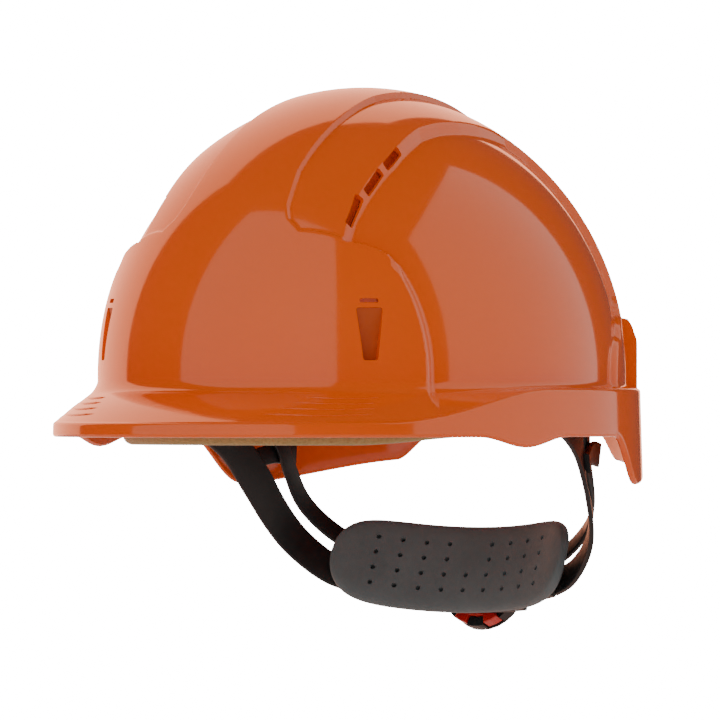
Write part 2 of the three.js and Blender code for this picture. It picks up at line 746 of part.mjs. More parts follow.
function knobWheel() {
  const disc = extrude(knobOutline(KNOB.radius, KNOB.notch, 14.5), KNOB.disc - KNOB.back);
  disc.translate(0, 0, KNOB.back);
  const wheel = join(disc, rod(12.4, KNOB.disc - 0.5, KNOB.boss, 28));
  return cut(
    wheel,
    rod(12.2, KNOB.back - 1, KNOB.back + 2.4, 28),
    rod(PINION.hub + GAP, KNOB.back - 1, 106, 24),
    rod(AXLE.bore, 100, 112, 16),
    rod(AXLE.head + GAP, 109, 112, 20),
  );
}

function knobGrip() {
  const ring = turned([
    [12.8, 108.8], [17.6, 108.8], [17.6, 109.9], [16.8, 110.6], [12.8, 110.6], [12.8, 108.8],
  ], 28);
  const blocks = [];
  for (let k = 0; k < KNOB.grips; k++) {
    const centre = 360 * k / KNOB.grips;
    const profile = [[13.9, 104], [17.8, 104], [17.8, 109.2], [13.9, 109.2]];
    blocks.push(arcSweep(profile, centre - 13, centre + 13, 3));
  }
  return join(ring, ...blocks);
}

function clickSpring() {
  const leaf = arcSweep([[9.5, 102.95], [10.7, 102.95], [10.7, 104.9], [9.5, 104.9]], -100, 100, 14);
  const nib = new THREE.BoxGeometry(1.6, 1.4, 1.6).translate(0, 11, 104);
  return join(leaf, nib);
}

function axleScrew() {
  return turned([
    [0, 96.7], [AXLE.radius, 96.7], [AXLE.radius, 109.3], [AXLE.head, 109.3],
    [AXLE.head, 110.4], [AXLE.head - 0.8, 110.8], [0, 110.8],
  ], 16);
}

// Studs that hold the pad on the housing lie along the radius at 12 degrees to each side.
const STUD = { turn: 12, z: 2.5, radius: 2 };

function toStud(geometry, side) {
  return geometry.rotateX(-Math.PI / 2).rotateZ(-side * rad(STUD.turn)).translate(0, 0, STUD.z);
}

const studTool = (side, radius) => toStud(rod(radius, 92.2, 100, 16), side);

function padStud(side) {
  const profile = [
    [0, 92.6], [3.2, 92.6], [3.2, 93.6], [STUD.radius, 93.6], [STUD.radius, 97.9], [0, 97.9],
  ];
  return toStud(turned(profile, 16), side);
}

// A soft arc with rounded ends, thinner towards its outline.
function napePad() {
  const sections = [];
  const steps = 22;
  const bulge = (PAD.outer - PAD.inner) / 2;
  for (let i = 0; i <= steps; i++) {
    const t = mix(-1, 1, i / steps);
    const angle = rad(PAD.end * Math.sin(t * Math.PI / 2) * 0.999);
    const across = Math.sqrt(Math.max(0.02, 1 - Math.abs(angle / rad(PAD.end)) ** 5));
    const half = PAD.half * across;
    const middle = PAD.inner + bulge;
    const rim = bulge * (0.25 + 0.75 * across) * 0.55;
    const full = bulge * (0.25 + 0.75 * across);
    const profile = [
      [middle - rim, -half], [middle + rim, -half],
      [middle + full, -half * 0.86], [middle + full, half * 0.86],
      [middle + rim, half], [middle - rim, half],
      [middle - full, half * 0.86], [middle - full, -half * 0.86],
    ];
    sections.push(profile.map(([r, z]) => polar(r, angle, z)));
  }
  const fan = Array.from({ length: 6 }, (_, i) => [0, i + 1, i + 2]);
  const pockets = SIDES.map(([, side]) => toStud(turned([
    [0, 92.2], [3.5, 92.2], [3.5, 94], [2.3, 94], [2.3, 100], [0, 100],
  ], 16), side));
  return cut(loft(sections, fan), ...pockets);
}

// ---------------------------------------------------------------- assembly

place('shell', shellSolid(), 'shell');

for (const seat of [...FRONT_SEATS, ...SIDE_SEATS, ...REAR_SEATS]) {
  place(`${seat.name}_anchor`, toSeat(anchorPlate(), seat), 'black');
}
for (const seat of HANGER_SEATS) {
  place(`${seat.name}_hanger`, toSeat(anchorPlate(), seat), 'black');
}
place('crown_strap_a', crownStrap(FRONT_SEATS[0], REAR_SEATS[1], CROWN_TOP), 'textile');
place('crown_strap_b', crownStrap(FRONT_SEATS[1], REAR_SEATS[0], CROWN_TOP - 2), 'textile');
place('crown_strap_cross', crownStrap(SIDE_SEATS[0], SIDE_SEATS[1], CROWN_TOP - 4), 'textile');
place('crown_patch', rod(19, CROWN_TOP + 1, CROWN_TOP + 2.2, 28).translate(0, CROSSING_Y, 0), 'textile');

place('headband', headband(), 'black');
place('sweatband', sweatband(), 'tan');
for (const seat of [...FRONT_SEATS, ...HANGER_SEATS]) {
  place(`${seat.name}_hook`, toSeat(hookPlate(), seat), 'black');
}
for (const [name, side] of SIDES) {
  place(`${name}_pivot_pin`, pivotPin(side), 'black');
}

for (const [name, side] of SIDES) {
  place(`${name}_arm`, cradleArm(side), 'black', nape);
  place(`${name}_strut`, ribbon(STRUT_PATH, side, 0, RACK_WALL, 26), 'black', nape);
  place(`${name}_bridge`, bridge(side), 'black', nape);
  place(`${name}_rack`, rack(side), 'black', nape);
}

place('nape_pad', napePad(), 'grey', nape);
for (const [name, side] of SIDES) {
  place(`${name}_pad_stud`, padStud(side), 'black', nape);
}
place('ratchet_housing', housing(), 'black', nape);
place('ratchet_cover', cover(), 'black', nape);
place('pinion', knobward(pinion()), 'black', nape);
place('click_spring', knobward(clickSpring()), 'steel', nape);
place('knob_wheel', knobward(knobWheel()), 'red', nape);
place('knob_grip', knobward(knobGrip()), 'black', nape);
place('axle_screw', knobward(axleScrew()), 'steel', nape);

export default group;
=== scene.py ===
"""Looks of the forestry helmet: fine shell, harness, materials, studio."""
import json
import math

import bmesh
import bpy
import numpy as np
from mathutils import Matrix, Vector


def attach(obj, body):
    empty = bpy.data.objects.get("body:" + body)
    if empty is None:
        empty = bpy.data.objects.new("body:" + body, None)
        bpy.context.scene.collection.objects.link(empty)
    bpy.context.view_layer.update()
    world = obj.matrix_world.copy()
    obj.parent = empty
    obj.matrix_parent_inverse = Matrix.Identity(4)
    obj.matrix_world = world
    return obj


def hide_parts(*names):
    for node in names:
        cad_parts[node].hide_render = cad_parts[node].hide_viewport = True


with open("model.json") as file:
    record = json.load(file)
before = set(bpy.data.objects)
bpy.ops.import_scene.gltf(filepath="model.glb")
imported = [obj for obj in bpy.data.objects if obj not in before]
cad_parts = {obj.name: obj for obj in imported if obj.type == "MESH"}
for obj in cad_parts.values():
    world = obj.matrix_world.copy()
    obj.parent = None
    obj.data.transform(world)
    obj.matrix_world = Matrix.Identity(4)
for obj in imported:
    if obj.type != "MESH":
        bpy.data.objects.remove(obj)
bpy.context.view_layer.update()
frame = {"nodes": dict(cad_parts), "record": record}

MM = 0.001
SIDES = (("left", 1), ("right", -1))

# ------------------------------------------------------------------ dimensions, in millimetres

CENTRE = np.array([0.0, 1.5, 25.0])             # centre of the dome's ellipsoids
DOME = (101.5, 123.5, 117.5)                    # half axes: the dome, the crown strips, the side panels
STRIP = (100.7, 122.5, 115.1)
PANEL = (98.3, 119.5, 111.0)
WALL = 2.8
BRIM_X, BRIM_FRONT, BRIM_REAR = 107.0, 155.0, 126.5
BRIM_TOP = 20.0                                 # the ledge's nominal height
LEDGE = BRIM_TOP - 0.2                          # its surface where it leaves the dome
FILLET = 3.2                                    # between dome and ledge
PEAK_LIP = 5.3                                  # the lip's upper edge at the front of the peak
LIP_WALL = 3.0
LIP_ROUND, LIP_FOOT, LIP_FLARE = 1.6, 1.3, 0.03  # upper edge, lower edge, outward slope
SHELL_GRID = (1240, 300)                        # columns round the shell, rows over the dome
NAPE_AT = (0.0, -4.9, -22.5)                    # the nape frame's origin, and its tilt in degrees
NAPE_TILT = 20.6
RACK_RADIUS = 99.6                              # outer radius of the arms about the nape axis
RACK_WALL = 2.0
BAND = dict(x=84.0, y=104.0, centre=-10.0, wall=1.6, low=-2.0, high=24.0)
TEMPLE_PIN = dict(y=8.0, z=10.0)

# Plan outlines on the wearer's left: the front step, the ridge's edge, the side panel's edge.
STEP_FRONT = [(25, -93.2), (27.5, -96.2), (33, -97), (49.4, -88.7), (67.5, -75.5), (80.4, -71.3), (125, -66)]
RIDGE_EDGE = [(20, 150), (20.5, 40), (20, 20), (19.6, 0), (19.3, -20), (21, -45), (21.6, -64.6),
              (22.2, -80.6)]
PANEL_EDGE = [
    (125, 30), (97, 35), (94.5, 43), (88, 57), (81, 68), (76, 72.5), (66.6, 65.5), (58, 58.5), (49, 49),
    (45, 38), (46, 17), (46, 2), (45.2, -12.7), (45, -26), (47.7, -50), (47.7, -80), (49.4, -88.7),
]
STRIP_PLAN = RIDGE_EDGE + STEP_FRONT + [(125, 150)]
PANEL_PLAN = PANEL_EDGE + STEP_FRONT[4:]
PANEL_BEVEL = dict(start=-3.1, width=5.2)        # at the side panel's front edge, from its outline
# The raised band's end in degrees from the rear, and the heights of its section.
REAR_BAND = dict(side=42.6, upright=37.5, shoulder=43.0, crest=48.2, top=50.5)
VENTS = [(-78.5, 91.2, 50), (-64.5, 103.0, 38), (-50.0, 112.6, 30)]     # y, z, lean in degrees
VENT_X, VENT_LONG, VENT_TAPER, VENT_WIDE = 49, 15.4, 0.9, 3.9
RECESS = dict(azimuth=34.4, facing=45.4, low=31.2, high=52.4, wide=11.0, narrow=5.9, depth=2.4)
RECESS_SINK, RECESS_DIP, RECESS_TALL = 0.5, 2.9, 21.2   # extra depth at its top, more at its foot, height
RECESS_REACH = 9                                # how far the cutters stand out of the shell
HOOK_SLOT = [(-3.8, 23.2), (3.8, 23.2), (3.8, 24.9), (-3.8, 24.9)]
BACKING = [(-7, -3), (7, -3), (7, 21), (-7, 21)]        # thickens the wall behind a recess


# ------------------------------------------------------------------ small helpers

def smooth(x, low, high):
    t = np.clip((np.asarray(x, float) - low) / (high - low), 0, 1)
    return t * t * (3 - 2 * t)


def mix(a, b, t):
    return a + (b - a) * t


def new_object(name, points, faces, material, scale=MM):
    """A mesh piece from points in millimetres."""
    mesh = bpy.data.meshes.new(name)
    mesh.from_pydata((np.asarray(points, float) * scale).tolist(), [], faces)
    mesh.validate()
    mesh.update()
    piece = bpy.data.objects.new(name, mesh)
    bpy.context.scene.collection.objects.link(piece)
    if material:
        mesh.materials.append(material)
    return piece


def outward(piece):
    bm = bmesh.new()
    bm.from_mesh(piece.data)
    bmesh.ops.recalc_face_normals(bm, faces=bm.faces)
    bm.to_mesh(piece.data)
    bm.free()


def soften(piece, angle=35):
    """Smooth shading that keeps edges sharper than the angle."""
    piece.data.shade_smooth()
    piece.data.set_sharp_from_angle(angle=math.radians(angle))


def bevelled(piece, width, segments=2, angle=32):
    """Rounds the edges of a piece; width in millimetres."""
    mod = piece.modifiers.new("edge", "BEVEL")
    mod.width = width * MM
    mod.segments = segments
    mod.limit_method = "ANGLE"
    mod.angle_limit = math.radians(angle)
    return mod


def apply_all(piece):
    """Turns the piece's modifiers into mesh."""
    graph = bpy.context.evaluated_depsgraph_get()
    done = bpy.data.meshes.new_from_object(piece.evaluated_get(graph))
    done.name = piece.name
    piece.modifiers.clear()
    old = piece.data
    piece.data = done
    bpy.data.meshes.remove(old)


def cut_out(piece, tools, operation="DIFFERENCE"):
    """Cuts each tool from the piece, or adds it, and removes the tool."""
    for tool in tools:
        mod = piece.modifiers.new("cut", "BOOLEAN")
        mod.operation = operation
        mod.solver = "MANIFOLD"
        mod.object = tool
    apply_all(piece)
    for tool in tools:
        bpy.data.objects.remove(tool)


def grid_faces(rows, cols):
    """Quads between consecutive closed rings."""
    faces = []
    for i in range(rows - 1):
        for j in range(cols):
            k = (j + 1) % cols
            faces.append((i * cols + j, i * cols + k, (i + 1) * cols + k, (i + 1) * cols + j))
    return faces


def sweep(name, sections, material):
    """A body through equal closed sections, capped at both ends."""
    sections = np.asarray(sections, float)
    rows, cols = sections.shape[:2]
    points = sections.reshape(-1, 3)
    faces = grid_faces(rows, cols)
    faces.append(tuple(range(cols))[::-1])
    faces.append(tuple((rows - 1) * cols + j for j in range(cols)))
    piece = new_object(name, points, faces, material)
    outward(piece)
    return piece


def from_bmesh(name, bm):
    """An object from a bmesh, which is freed."""
    mesh = bpy.data.meshes.new(name)
    bm.to_mesh(mesh)
    bm.free()
    piece = bpy.data.objects.new(name, mesh)
    bpy.context.scene.collection.objects.link(piece)
    return piece


def join(name, pieces):
    """One object from several, with the first one's materials."""
    merged = bmesh.new()
    for piece in pieces:
        merged.from_mesh(piece.data)
    materials = list(pieces[0].data.materials)
    for piece in pieces:
        bpy.data.objects.remove(piece)
    result = from_bmesh(name, merged)
    for material in materials:
        result.data.materials.append(material)
    return result


def round_rect(width, height, radius, steps=4):
    """Outline of a rounded rectangle about the origin, anticlockwise."""
    points = []
    for cx, cy, start in ((1, 1, 0), (-1, 1, 90), (-1, -1, 180), (1, -1, 270)):
        for i in range(steps + 1):
            a = math.radians(start + 90 * i / steps)
            points.append((cx * (width / 2 - radius) + radius * math.cos(a),
                           cy * (height / 2 - radius) + radius * math.sin(a)))
    return np.array(points)


def curve_through(points, steps):
    """Centripetal Catmull-Rom curve through rows of numbers."""
    pts = np.asarray(points, float)
    pts = np.vstack([2 * pts[0] - pts[1], pts, 2 * pts[-1] - pts[-2]])
    out = []
    for i in range(1, len(pts) - 2):
        p0, p1, p2, p3 = pts[i - 1:i + 3]
        t = [0.0]
        for a, b in ((p0, p1), (p1, p2), (p2, p3)):
            t.append(t[-1] + max(np.linalg.norm((b - a)[:2]), 1e-6) ** 0.5)
        for s in np.linspace(t[1], t[2], steps, endpoint=False):
            a1 = mix(p0, p1, (s - t[0]) / (t[1] - t[0]))
            a2 = mix(p1, p2, (s - t[1]) / (t[2] - t[1]))
            a3 = mix(p2, p3, (s - t[2]) / (t[3] - t[2]))
            b1 = mix(a1, a2, (s - t[0]) / (t[2] - t[0]))
            b2 = mix(a2, a3, (s - t[1]) / (t[3] - t[1]))
            out.append(mix(b1, b2, (s - t[1]) / (t[2] - t[1])))
    out.append(pts[-2])
    return np.array(out)


NAPE = Matrix.Translation(Vector(NAPE_AT)) @ Matrix.Rotation(math.radians(-NAPE_TILT), 4, "X")


def at_nape(piece):
    """Takes a piece drawn in the nape frame to the shared frame."""
    move = NAPE.copy()
    move.translation *= MM
    piece.data.transform(move)
    return piece


# ------------------------------------------------------------------ materials

class Nodes:
    """Builds one node material on object coordinates, in metres."""

    def __init__(self, name):
        self.material = bpy.data.materials.new(name)
        self.material.use_nodes = True
        self.tree = self.material.node_tree
        self.shader = self.tree.nodes["Principled BSDF"]
        self.place = self.tree.nodes.new("ShaderNodeTexCoord").outputs["Object"]

    def node(self, kind, **values):
        node = self.tree.nodes.new(kind)
        for key, value in values.items():
            if hasattr(node, key):
                setattr(node, key, value)
            else:
                node.inputs[key.replace("_", " ")].default_value = value
        return node

    def link(self, source, target):
        self.tree.links.new(source, target)

    def noise(self, scale, detail=4.0, rough=0.55, stretch=None):
        noise = self.node("ShaderNodeTexNoise", Scale=scale, Detail=detail, Roughness=rough)
        source = self.place
        if stretch:
            mapping = self.node("ShaderNodeMapping")
            mapping.inputs["Scale"].default_value = stretch
            self.link(source, mapping.inputs["Vector"])
            source = mapping.outputs["Vector"]
        self.link(source, noise.inputs["Vector"])
        return noise.outputs["Fac"]

    def ramp(self, source, stops):
        ramp = self.node("ShaderNodeValToRGB")
        elements = ramp.color_ramp.elements
        for i, (position, colour) in enumerate(stops):
            element = elements[i] if i < 2 else elements.new(position)
            element.position = position
            element.color = (*colour, 1) if hasattr(colour, "__len__") else (colour, colour, colour, 1)
        self.link(source, ramp.inputs["Fac"])
        return ramp.outputs["Color"]

    def product(self, a, b):
        node = self.node("ShaderNodeMath", operation="MULTIPLY")
        self.link(a, node.inputs[0])
        self.link(b, node.inputs[1])
        return node.outputs[0]

    def bump(self, height, strength, distance, under=None):
        bump = self.node("ShaderNodeBump")
        bump.inputs["Strength"].default_value = strength
        bump.inputs["Distance"].default_value = distance
        self.link(height, bump.inputs["Height"])
        if under is not None:
            self.link(under, bump.inputs["Normal"])
        return bump.outputs["Normal"]

    def finish(self, colour, rough=None, normal=None, **sockets):
        self.link(colour, self.shader.inputs["Base Color"])
        if rough is not None:
            self.link(rough, self.shader.inputs["Roughness"])
        if normal is not None:
            self.link(normal, self.shader.inputs["Normal"])
        for key, value in sockets.items():
            self.shader.inputs[key.replace("_", " ")].default_value = value
        return self.material


def shell_material():
    """Glossy orange moulding with a faint ripple."""
    n = Nodes("orange_gloss")
    tone = n.ramp(n.noise(9, 3), [(0.3, (0.86, 0.116, 0.0018)), (0.7, (0.90, 0.124, 0.0025))])
    rough = n.ramp(n.noise(130, 5), [(0.35, 0.075), (0.8, 0.12)])
    ripple = n.bump(n.noise(55, 2), 0.05, 0.0005)
    fine = n.bump(n.noise(1900, 3), 0.03, 0.00006, ripple)
    return n.finish(tone, rough, fine, IOR=1.52, Coat_Weight=0.35, Coat_Roughness=0.03, Coat_IOR=1.5,
                    Subsurface_Weight=0.06, Subsurface_Scale=0.004)


def matt_shaded_orange_material():
    """The recess floors: the shell's plastic with a fine matt finish, its orange darkened as painted shade
    for the hollow.
    """
    n = Nodes("orange_matt_painted_shade")
    # a darker orange than the gloss: painted shade standing in for the recess's hollow
    tone = n.ramp(n.noise(60, 3), [(0.3, (0.46, 0.066, 0.0012)), (0.7, (0.52, 0.076, 0.0018))])
    rough = n.ramp(n.noise(700, 4), [(0.3, 0.5), (0.8, 0.65)])
    grain = n.bump(n.noise(2400, 3), 0.1, 0.00008)
    return n.finish(tone, rough, grain, IOR=1.5)


def black_material():
    n = Nodes("black_plastic")
    tone = n.ramp(n.noise(60, 4), [(0.3, (0.0045, 0.0066, 0.0082)), (0.75, (0.0080, 0.0110, 0.0130))])
    rough = n.ramp(n.noise(240, 5), [(0.3, 0.33), (0.75, 0.47)])
    grain = n.bump(n.noise(2600, 3), 0.25, 0.00008)
    return n.finish(tone, rough, grain, IOR=1.5)


def knob_red_material():
    n = Nodes("knob_red")
    tone = n.ramp(n.noise(80, 4), [(0.3, (0.52, 0.012, 0.009)), (0.75, (0.63, 0.02, 0.013))])
    rough = n.ramp(n.noise(300, 4), [(0.3, 0.22), (0.75, 0.33)])
    grain = n.bump(n.noise(2200, 2), 0.12, 0.00006)
    return n.finish(tone, rough, grain, IOR=1.5, Coat_Weight=0.15, Coat_Roughness=0.15)


def foam_material():
    """Tan foam: a fine open grain under a brushed face."""
    n = Nodes("sweatband_foam")
    voronoi = n.node("ShaderNodeTexVoronoi", Scale=900.0)
    n.link(n.place, voronoi.inputs["Vector"])
    cells = voronoi.outputs["Distance"]
    tan = [(0.25, (0.30, 0.215, 0.075)), (0.5, (0.40, 0.30, 0.115)), (0.8, (0.50, 0.395, 0.17))]
    tone = n.ramp(n.noise(700, 5, 0.7), tan)
    rough = n.ramp(n.noise(300, 3), [(0.3, 0.82), (0.8, 0.96)])
    soft = n.bump(n.noise(160, 4), 0.25, 0.0006)
    fine = n.bump(cells, 0.5, 0.0004, soft)
    return n.finish(tone, rough, fine, Sheen_Weight=0.35, Sheen_Roughness=0.5)


def rubber_material():
    """Dark grey soft pad with a fine leathery grain."""
    n = Nodes("pad_rubber")
    voronoi = n.node("ShaderNodeTexVoronoi", Scale=420.0, feature="SMOOTH_F1")
    n.link(n.place, voronoi.inputs["Vector"])
    tone = n.ramp(n.noise(45, 5), [(0.3, (0.104, 0.136, 0.148)), (0.75, (0.136, 0.175, 0.190))])
    rough = n.ramp(n.noise(190, 4), [(0.3, 0.6), (0.8, 0.78)])
    grain = n.bump(voronoi.outputs["Distance"], 0.3, 0.0003)
    fine = n.bump(n.noise(1500, 3), 0.25, 0.0001, grain)
    return n.finish(tone, rough, fine, Sheen_Weight=0.15)


def textile_material():
    """Woven webbing: ribs along the strap crossed by weft."""
    n = Nodes("textile_weave")
    waves = []
    for direction in ("X", "Y"):
        wave = n.node("ShaderNodeTexWave", wave_type="BANDS", bands_direction=direction, Scale=310.0,
                      Distortion=0.6, Detail=2.0)
        n.link(n.place, wave.inputs["Vector"])
        waves.append(wave.outputs["Fac"])
    weave = n.product(*waves)
    tone = n.ramp(weave, [(0.0, (0.006, 0.006, 0.007)), (0.9, (0.03, 0.03, 0.033))])
    fuzz = n.bump(n.noise(1300, 4), 0.2, 0.0002)
    normal = n.bump(weave, 0.7, 0.0004, fuzz)
    rough = n.ramp(n.noise(400, 3), [(0.3, 0.8), (0.8, 0.95)])
    return n.finish(tone, rough, normal, Sheen_Weight=0.5, Sheen_Roughness=0.4)


def steel_material():
    n = Nodes("plain_steel")
    streak = n.noise(260, 4, stretch=(1, 6, 1))
    tone = n.ramp(streak, [(0.3, (0.42, 0.42, 0.43)), (0.8, (0.6, 0.6, 0.61))])
    rough = n.ramp(streak, [(0.3, 0.25), (0.8, 0.42)])
    return n.finish(tone, rough, n.bump(streak, 0.1, 0.0001), Metallic=1.0)


SHELL = shell_material()
MATT_PAINTED_SHADE_ORANGE = matt_shaded_orange_material()
BLACK = black_material()
RED = knob_red_material()
FOAM = foam_material()
RUBBER = rubber_material()
TEXTILE = textile_material()
STEEL = steel_material()

# ------------------------------------------------------------------ shell


def oval(angle, a, b, power=2.0):
    """Radius of a superellipse; polar angle 0 is the front and grows to the wearer's left."""
    s = np.abs(np.sin(angle)) / a
    c = np.abs(np.cos(angle)) / b
    return (s ** power + c ** power) ** (-1 / power)


def brim_radius(angle):
    front = oval(angle, BRIM_X, BRIM_FRONT, 2.15)
    rear = oval(angle, BRIM_X, BRIM_REAR, 2.0)
    return np.where(np.cos(angle) > 0, front, rear)


def lip_top(angle):
    y = CENTRE[1] - brim_radius(angle) * np.cos(angle)
    return mix(PEAK_LIP, BRIM_TOP - 0.4, smooth(y, -105, -22))


def lip_bottom(angle):
    y = CENTRE[1] - brim_radius(angle) * np.cos(angle)
    t = np.clip(np.abs(y + 38) / 27, 0, 1)
    side = -4.2 * np.cos(t * np.pi / 2) ** 2
    from_rear = np.degrees(np.pi - np.abs(angle))
    body = mix(9.6, 19.6, smooth(from_rear, 20.5, 60.5))
    rear = -body * (1 - smooth(from_rear, 60.5, 75)) * smooth(from_rear, 19.5, 26.5)
    return np.where(y < 0, side, rear)


def inside_distance(x, y, outline):
    """Signed distance to a plan outline, positive inside."""
    pts = np.array(outline, float)
    best = np.full(x.shape, 1e9)
    inside = np.zeros(x.shape, bool)
    for (x0, y0), (x1, y1) in zip(pts, np.roll(pts, -1, axis=0)):
        dx, dy = x1 - x0, y1 - y0
        t = np.clip(((x - x0) * dx + (y - y0) * dy) / (dx * dx + dy * dy), 0, 1)
        best = np.minimum(best, np.hypot(x - x0 - t * dx, y - y0 - t * dy))
        crosses = (y0 > y) != (y1 > y)
        where = x0 + (y - y0) * dx / (dy if dy else 1e-9)
        inside ^= crosses & (x < where)
    return np.where(inside, best, -best)


def ellipsoid_reach(direction, size):
    return 1 / np.sqrt(sum((direction[..., i] / size[i]) ** 2 for i in range(3)))


def dome_reach(direction, inset=0.0):
    """Distance from the centre to the stepped dome surface along each direction."""
    outer = ellipsoid_reach(direction, [s - inset for s in DOME])
    strip = ellipsoid_reach(direction, [s - inset for s in STRIP])
    panel = ellipsoid_reach(direction, [s - inset for s in PANEL])
    reach = outer.copy()
    for _ in range(7):  # the plan point depends on the reach, so it settles over a few damped turns
        point = CENTRE + direction * reach[..., None]
        x, y = np.abs(point[..., 0]), point[..., 1]
        run = mix(0.35, 1.15, smooth(-y, 78, 88))
        steep = smooth(inside_distance(x, y, STRIP_PLAN) / run / 2 + 0.5, 0, 1)
        depth = inside_distance(x, y, PANEL_PLAN)
        front = smooth(x, 63, 71) * smooth(-y, 48, 60)
        bevel = np.clip((depth - PANEL_BEVEL["start"]) / PANEL_BEVEL["width"], 0, 1)
        deep = mix(smooth(depth, -1.1, 1.1), 0.9 * bevel + 0.1 * smooth(bevel, 0, 1), front)
        reach = mix(reach, mix(mix(outer, strip, steep), panel, deep), 0.65)
    return reach


def band_reach(angle, z):
    """Radius of the raised rear band at a height, or 0 outside it: upright, then rounded over."""
    from_rear = np.degrees(np.pi - np.abs(angle))
    upright, shoulder, crest, top = (REAR_BAND[k] for k in ("upright", "shoulder", "crest", "top"))
    face = brim_radius(angle) - 0.4
    bend = shoulder - upright
    start = 1.5 * ((z - upright) / bend) ** 2
    rest = 1.5 + 3.0 * (np.maximum(z - shoulder, 0) / bend) ** 1.6
    fall = np.where(z < upright, 0, np.where(z < shoulder, start, rest))
    within = (1 - smooth(from_rear, REAR_BAND["side"] - 1.4, REAR_BAND["side"])) * (z < top)
    return (face - fall - 30 * smooth(z, crest, top)) * within


def ring(radius, angle, z):
    """Points at a radius and height round the shell."""
    z = np.broadcast_to(z, angle.shape)
    return np.stack([radius * np.sin(angle), CENTRE[1] - radius * np.cos(angle), z], axis=-1)


def push_out(points):
    """Lifts dome points low at the rear on to the raised band."""
    radius = np.hypot(points[..., 0], points[..., 1] - CENTRE[1])
    angle = np.arctan2(points[..., 0], CENTRE[1] - points[..., 1])
    out = np.maximum(radius, band_reach(angle, points[..., 2]))
    factor = out / np.maximum(radius, 1e-6)
    lifted = CENTRE + (points - CENTRE) * np.stack([factor, factor, np.ones_like(factor)], -1)
    return np.where(points[..., 2:] > 15, lifted, points)


def dome_rays(polar, angle):
    """Unit directions from the centre to one level of the dome; polar 0 is the crown."""
    base = np.stack([DOME[0] * np.sin(polar) * np.sin(angle), -DOME[1] * np.sin(polar) * np.cos(angle),
                     np.full_like(angle, DOME[2] * np.cos(polar))], -1)
    return base / np.linalg.norm(base, axis=-1, keepdims=True)


def shell_rings(columns, dome_rows):
    """Rings from just under the crown, down the outside, round the lip and up the inside."""
    angle = -np.pi + 2 * np.pi * np.arange(columns) / columns
    rows = []
    levels = np.linspace(0, 1, dome_rows + 1)[1:] * np.pi / 2
    for level in levels:
        rays = dome_rays(level, angle)
        rows.append(push_out(CENTRE + rays * dome_reach(rays)[..., None]))
    equator = rows[-1]
    radius = np.hypot(equator[:, 0], equator[:, 1] - CENTRE[1])
    true_angle = np.arctan2(equator[:, 0], CENTRE[1] - equator[:, 1])
    brim = brim_radius(true_angle)
    top, low = lip_top(true_angle), lip_bottom(true_angle)

    def section(r, z):
        rows.append(push_out(ring(r, true_angle, z)))

    def slope(r):
        return (top - LEDGE) * (r - radius) / np.maximum(brim - radius, 0.5)

    for k in (1, 2):
        section(radius, CENTRE[2] - 1.2 * k)
    fillet = np.minimum(FILLET, (brim - radius) * 0.45)
    for k in range(6):
        a = k / 5 * np.pi / 2
        r = radius + fillet * (1 - np.cos(a))
        section(r, np.minimum(LEDGE + fillet * (1 - np.sin(a)), 22.6) + slope(r))

    # the peak's upper face, crowned a little, and the lip's rounded edge
    face_rows = 34
    for k in range(1, face_rows + 1):
        t = k / face_rows
        r = radius + fillet + (brim - LIP_ROUND - radius - fillet) * t
        section(r, LEDGE + slope(r) + 0.55 * np.sin(np.pi * t) * smooth(brim - radius, 8, 30))
    drop = LEDGE + slope(brim - LIP_ROUND)
    for k in range(1, 6):
        a = k / 5 * np.pi / 2
        section(brim - LIP_ROUND + LIP_ROUND * np.sin(a), drop - LIP_ROUND * (1 - np.cos(a)))

    # the lip's outer face, its foot, and its inner face
    high = drop - LIP_ROUND
    lip_rows = 16
    for k in range(1, lip_rows + 1):
        z = mix(high, low + LIP_FOOT, k / lip_rows)
        section(brim + LIP_FLARE * (high - z), z)
    out = brim + LIP_FLARE * (high - low - LIP_FOOT)
    half = WALL / 2
    for k in range(1, 9):
        a = k / 8 * np.pi
        section(out - half + half * np.cos(a), low + LIP_FOOT * (1 - np.sin(a)))
    inner = out - WALL
    under = top - WALL
    for k in range(1, 9):
        section(mix(inner, brim - LIP_WALL, k / 8), mix(low + LIP_FOOT, under, k / 8))

    # the peak's underside and the dome's inside
    inner_radius = dome_reach(dome_rays(np.pi / 2, angle), WALL)
    for k in range(1, 9):
        t = k / 8
        r = mix(brim - LIP_WALL, inner_radius, t)
        rows.append(ring(r, true_angle, mix(under, BRIM_TOP - WALL, t ** 0.8)))
    for level in levels[::-2]:
        rays = dome_rays(level, angle)
        rows.append(CENTRE + rays * dome_reach(rays, WALL)[..., None])
    return np.array(rows)


def box_tool(name, size, centre, lean=0):
    """A cutting block with rounded long edges, leant about X by degrees."""
    bm = bmesh.new()
    bmesh.ops.create_cube(bm, size=1)
    bmesh.ops.scale(bm, vec=Vector(size) * MM, verts=bm.verts)
    long_axis = max(range(3), key=lambda i: size[i])
    least = 0.5 * size[long_axis] * MM
    edges = [e for e in bm.edges if abs((e.verts[0].co - e.verts[1].co)[long_axis]) > least]
    bmesh.ops.bevel(bm, geom=edges, offset=0.8 * MM, segments=3, affect="EDGES", profile=0.5)
    bmesh.ops.rotate(bm, cent=(0, 0, 0), matrix=Matrix.Rotation(math.radians(lean), 3, "X"), verts=bm.verts)
    bmesh.ops.translate(bm, vec=Vector(centre) * MM, verts=bm.verts)
    return from_bmesh(name, bm)


